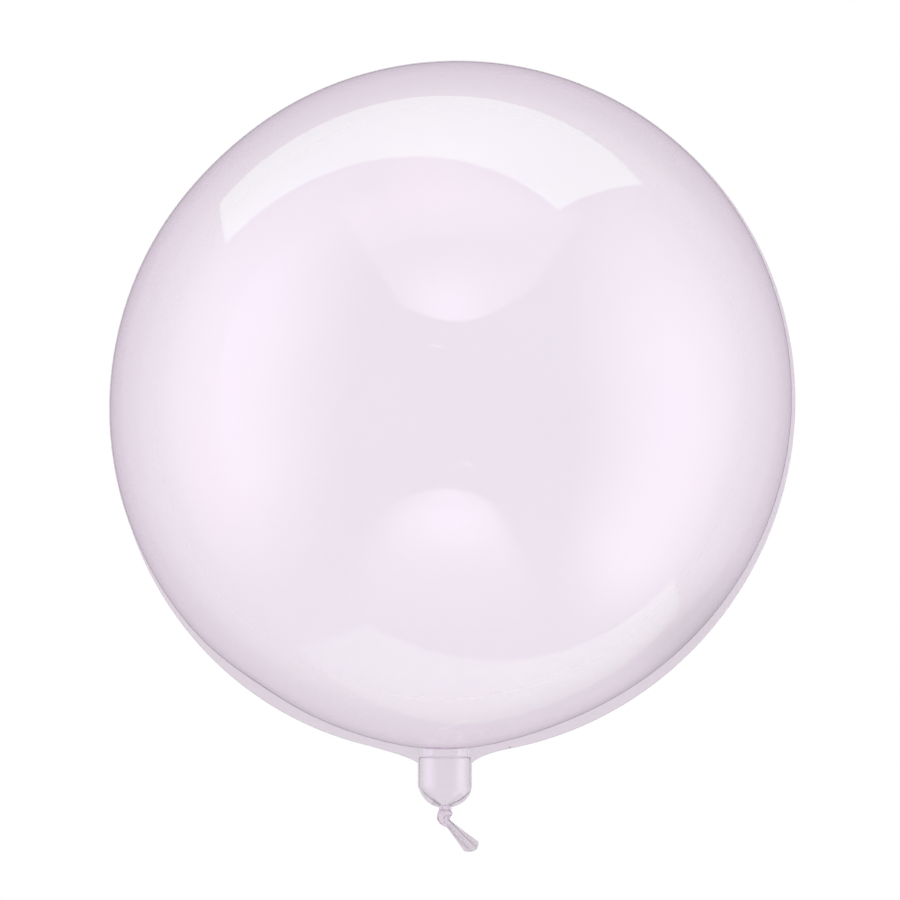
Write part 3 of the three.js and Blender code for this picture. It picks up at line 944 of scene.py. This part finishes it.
def lamp_material(name, colour, strength):
    """Light as strong as the glow values of the mesh, added to what lies behind it."""
    material, light, output = glowing(name, colour, strength)
    tree = material.node_tree
    glow = add_node(tree, "ShaderNodeAttribute", attribute_name="glow")
    scale = add_node(tree, "ShaderNodeMath", {1: strength}, operation="MULTIPLY")
    clear = add_node(tree, "ShaderNodeBsdfTransparent")
    both = add_node(tree, "ShaderNodeAddShader")
    tree.links.new(glow.outputs["Fac"], scale.inputs[0])
    tree.links.new(scale.outputs["Value"], light.inputs["Strength"])
    tree.links.new(light.outputs["Emission"], both.inputs[0])
    tree.links.new(clear.outputs["BSDF"], both.inputs[1])
    tree.links.new(both.outputs["Shader"], output.inputs["Surface"])
    return material


def curve_through(points, at):
    """The smooth curve through a few points, at shares of its length."""
    spread = np.linspace(0, 1, len(points))
    degree = len(points) - 1
    return np.stack([np.polyval(np.polyfit(spread, values, degree), at) for values in zip(*points)], axis=1)


def lamp(name, inner, outer, colour, strength, profile, lit):
    """A studio lamp that shows only in the gloss: a patch of a big sphere between two curved edges.

    Each edge is a few (azimuth, polar) pairs in degrees: azimuth clockwise from +Y, polar from +Z.
    profile gives the brightness at shares along and across the patch.
    """
    u = np.linspace(0, 1, LAMP_COLUMNS + 1)
    v = np.linspace(0, 1, LAMP_ROWS + 1)
    inner_edge = curve_through(inner, u)
    outer_edge = curve_through(outer, u)
    places = inner_edge[None] + (outer_edge - inner_edge)[None] * v[:, None, None]
    azimuth = np.radians(places[..., 0])
    polar = np.radians(places[..., 1])
    x = np.sin(polar) * np.sin(azimuth)
    y = np.sin(polar) * np.cos(azimuth)
    points = np.stack([x, y, np.cos(polar)], axis=-1).reshape(-1, 3) * LAMP_DISTANCE
    points[:, 2] += rest_height * MM
    mesh = bpy.data.meshes.new(name)
    mesh.from_pydata(points.tolist(), [], grid_faces(LAMP_ROWS + 1, LAMP_COLUMNS + 1, False))
    along, across = np.meshgrid(u, v, indexing="xy")
    level = np.clip(profile(along, across), 0, None).reshape(-1)
    glow = mesh.attributes.new("glow", "FLOAT", "POINT")
    glow.data.foreach_set("value", level.astype(np.float32))
    mesh.materials.append(lamp_material(name, colour, strength))
    patch = bpy.data.objects.new(name, mesh)
    bpy.context.scene.collection.objects.link(patch)
    patch.visible_camera = False
    patch.visible_diffuse = False
    patch.visible_transmission = False
    patch.visible_volume_scatter = False
    patch.visible_shadow = False
    patch.light_linking.receiver_collection = lit


def hump(x, centre, width):
    """A soft peak of height 1."""
    return np.exp(-(((x - centre) / width) ** 2))


def side_glow(v):
    """Brightest well in from the rim, with a faint tail out to it."""
    peak = np.sin(math.pi * np.clip(v / 0.72, 0, 1)) ** 1.2
    return peak + 0.1 * smooth(0.5, 0.7, v) * smooth(1, 0.93, v)


def front_glow(u, v):
    """A round core near the lower edge of a wide, evenly lit disc."""
    disc = (0.26 + 0.16 * u) * smooth(1, 0.75, v)
    core = 0.82 * hump(u, 0.46, 0.25) * hump(v, 0.07, 0.24)
    return smooth(0, 0.1, u) * smooth(1, 0.9, u) * (disc + core)


def low_front_glow(u, v):
    """A round core in a fainter disc with soft sides."""
    disc = 0.1 + 0.2 * smooth(0.95, 0.5, v)
    core = 0.76 * hump(u, 0.55, 0.3) * hump(v, 0.19, 0.25)
    return smooth(0, 0.3, u) * smooth(1, 0.75, u) * (disc + core)


def even(u, v):
    """The same brightness all over."""
    return np.ones_like(u)


lamp(
    "strip_lamp",
    [(-54.2, 107.7), (-27.4, 98.7), (1, 88.5), (28.8, 77.7)],
    [(-48.9, 127.7), (-20, 128), (12, 123.5), (41.4, 112.4)],
    (0.63, 1.0, 0.71),
    3.45,
    lambda u, v: (1 - 0.35 * v) * (0.99 + 0.4 * u**4),
    upper_pieces,
)
lamp(
    "upper_glow",
    [(-50, 62), (-5, 58), (35, 62)],
    [(-52, 146), (-5, 150), (38, 146)],
    (1.0, 0.70, 0.85),
    2.1,
    lambda u, v: np.sin(math.pi * u) ** 2 * (hump(v, 0.27, 0.28) + 0.04),
    upper_pieces,
)
lamp(
    "window_lamp",
    [(-34, 48), (-52, 47), (-78, 46), (-108, 52), (-124, 62)],
    [(-30.4, 74.3), (-50.9, 84.9), (-75.8, 86), (-100, 84), (-124, 84)],
    (0.70, 0.60, 1.0),
    1.5,
    lambda u, v: (0.25 + 0.75 * hump(u, 0.55, 0.3)) * smooth(1, 0.72, u) * v**1.6,
    upper_pieces,
)
lamp(
    "left_lamp",
    [(-22, 52), (-60, 36), (-100, 34), (-150, 58)],
    [(-26, 136), (-60, 152), (-100, 150), (-150, 130)],
    (1.0, 0.77, 1.0),
    4.5,
    lambda u, v: smooth(-0.1, 0.4, u) * smooth(1, 0.7, u) * side_glow(v),
    upper_pieces,
)
lamp(
    "right_lamp",
    [(33, 60), (62, 42), (100, 42), (156, 66)],
    [(33, 118), (62, 145), (100, 149), (152, 131)],
    (0.98, 0.79, 1.0),
    4.7,
    lambda u, v: smooth(-0.1, 0.55, u) * smooth(1, 0.86, u) * side_glow(v),
    upper_pieces,
)
lamp(
    "front_lamp",
    [(-27.4, 44.1), (-21, 31.8), (1.5, 26.7), (24, 32), (37.5, 52)],
    [(-32, 86), (-20, 86), (2, 86), (22, 86), (37, 86)],
    (0.93, 0.76, 1.0),
    4.8,
    front_glow,
    upper_pieces,
)
lamp(
    "glint_lamp",
    [(-20.4, 19.9), (-9.1, 17.7)],
    [(-20.4, 20.35), (-9.1, 18.15)],
    (1.0, 0.9, 1.0),
    10,
    even,
    upper_pieces,
)
lamp(
    "low_strip_lamp",
    [(20.1, 87.9), (-4, 99), (-28, 110.5), (-51.5, 115.9)],
    [(31.7, 115.4), (7, 134), (-20, 141), (-46.9, 135.1)],
    (0.76, 1.0, 0.67),
    3.9,
    lambda u, v: 1.12 - 0.7 * v,
    lower_pieces,
)
lamp(
    "low_front_lamp",
    [(32.5, 47.7), (24, 35.5), (2, 29.8), (-19, 35), (-27.5, 48)],
    [(34, 86), (20, 86), (2, 86), (-18, 86), (-28, 86)],
    (0.93, 0.77, 1.0),
    13,
    low_front_glow,
    lower_pieces,
)
lamp(
    "low_glint_lamp",
    [(-10.2, 20.8), (-19, 22.9)],
    [(-10.2, 21.25), (-19, 23.35)],
    (1.0, 0.9, 1.0),
    24,
    even,
    lower_pieces,
)

# White surroundings, which the gloss shows only dimly

WORLD_BRIGHTNESS = 1.0
WORLD_IN_GLOSS = 0.2

world = bpy.data.worlds.new("studio")
bpy.context.scene.world = world
world.use_nodes = True
sky = world.node_tree
sky.nodes.clear()
world_output = add_node(sky, "ShaderNodeOutputWorld")
background = add_node(sky, "ShaderNodeBackground", {"Color": (1, 1, 1, 1)})
path = add_node(sky, "ShaderNodeLightPath")
dim = add_node(sky, "ShaderNodeMapRange", {"To Min": WORLD_BRIGHTNESS, "To Max": WORLD_IN_GLOSS})
sky.links.new(path.outputs["Is Glossy Ray"], dim.inputs["Value"])
sky.links.new(dim.outputs["Result"], background.inputs["Strength"])
sky.links.new(background.outputs["Background"], world_output.inputs["Surface"])

# Camera, looking straight down from above the balloon

CAMERA_ABOVE = 8
FRAME_WIDTH = 0.6696
SENSOR = 36
VIEW_X = -0.00045
VIEW_Y = -0.0357

camera_data = bpy.data.cameras.new("camera")
camera_data.sensor_width = SENSOR
camera_data.lens = SENSOR * CAMERA_ABOVE / FRAME_WIDTH
camera = bpy.data.objects.new("camera", camera_data)
camera.location = (VIEW_X, VIEW_Y, rest_height * MM + CAMERA_ABOVE)
bpy.context.scene.collection.objects.link(camera)
bpy.context.scene.camera = camera
bpy.context.scene.view_settings.view_transform = "Standard"
bpy.context.scene.cycles.use_denoising = True
bpy.context.scene.cycles.transparent_max_bounces = 32
bpy.context.scene.cycles.max_bounces = 8
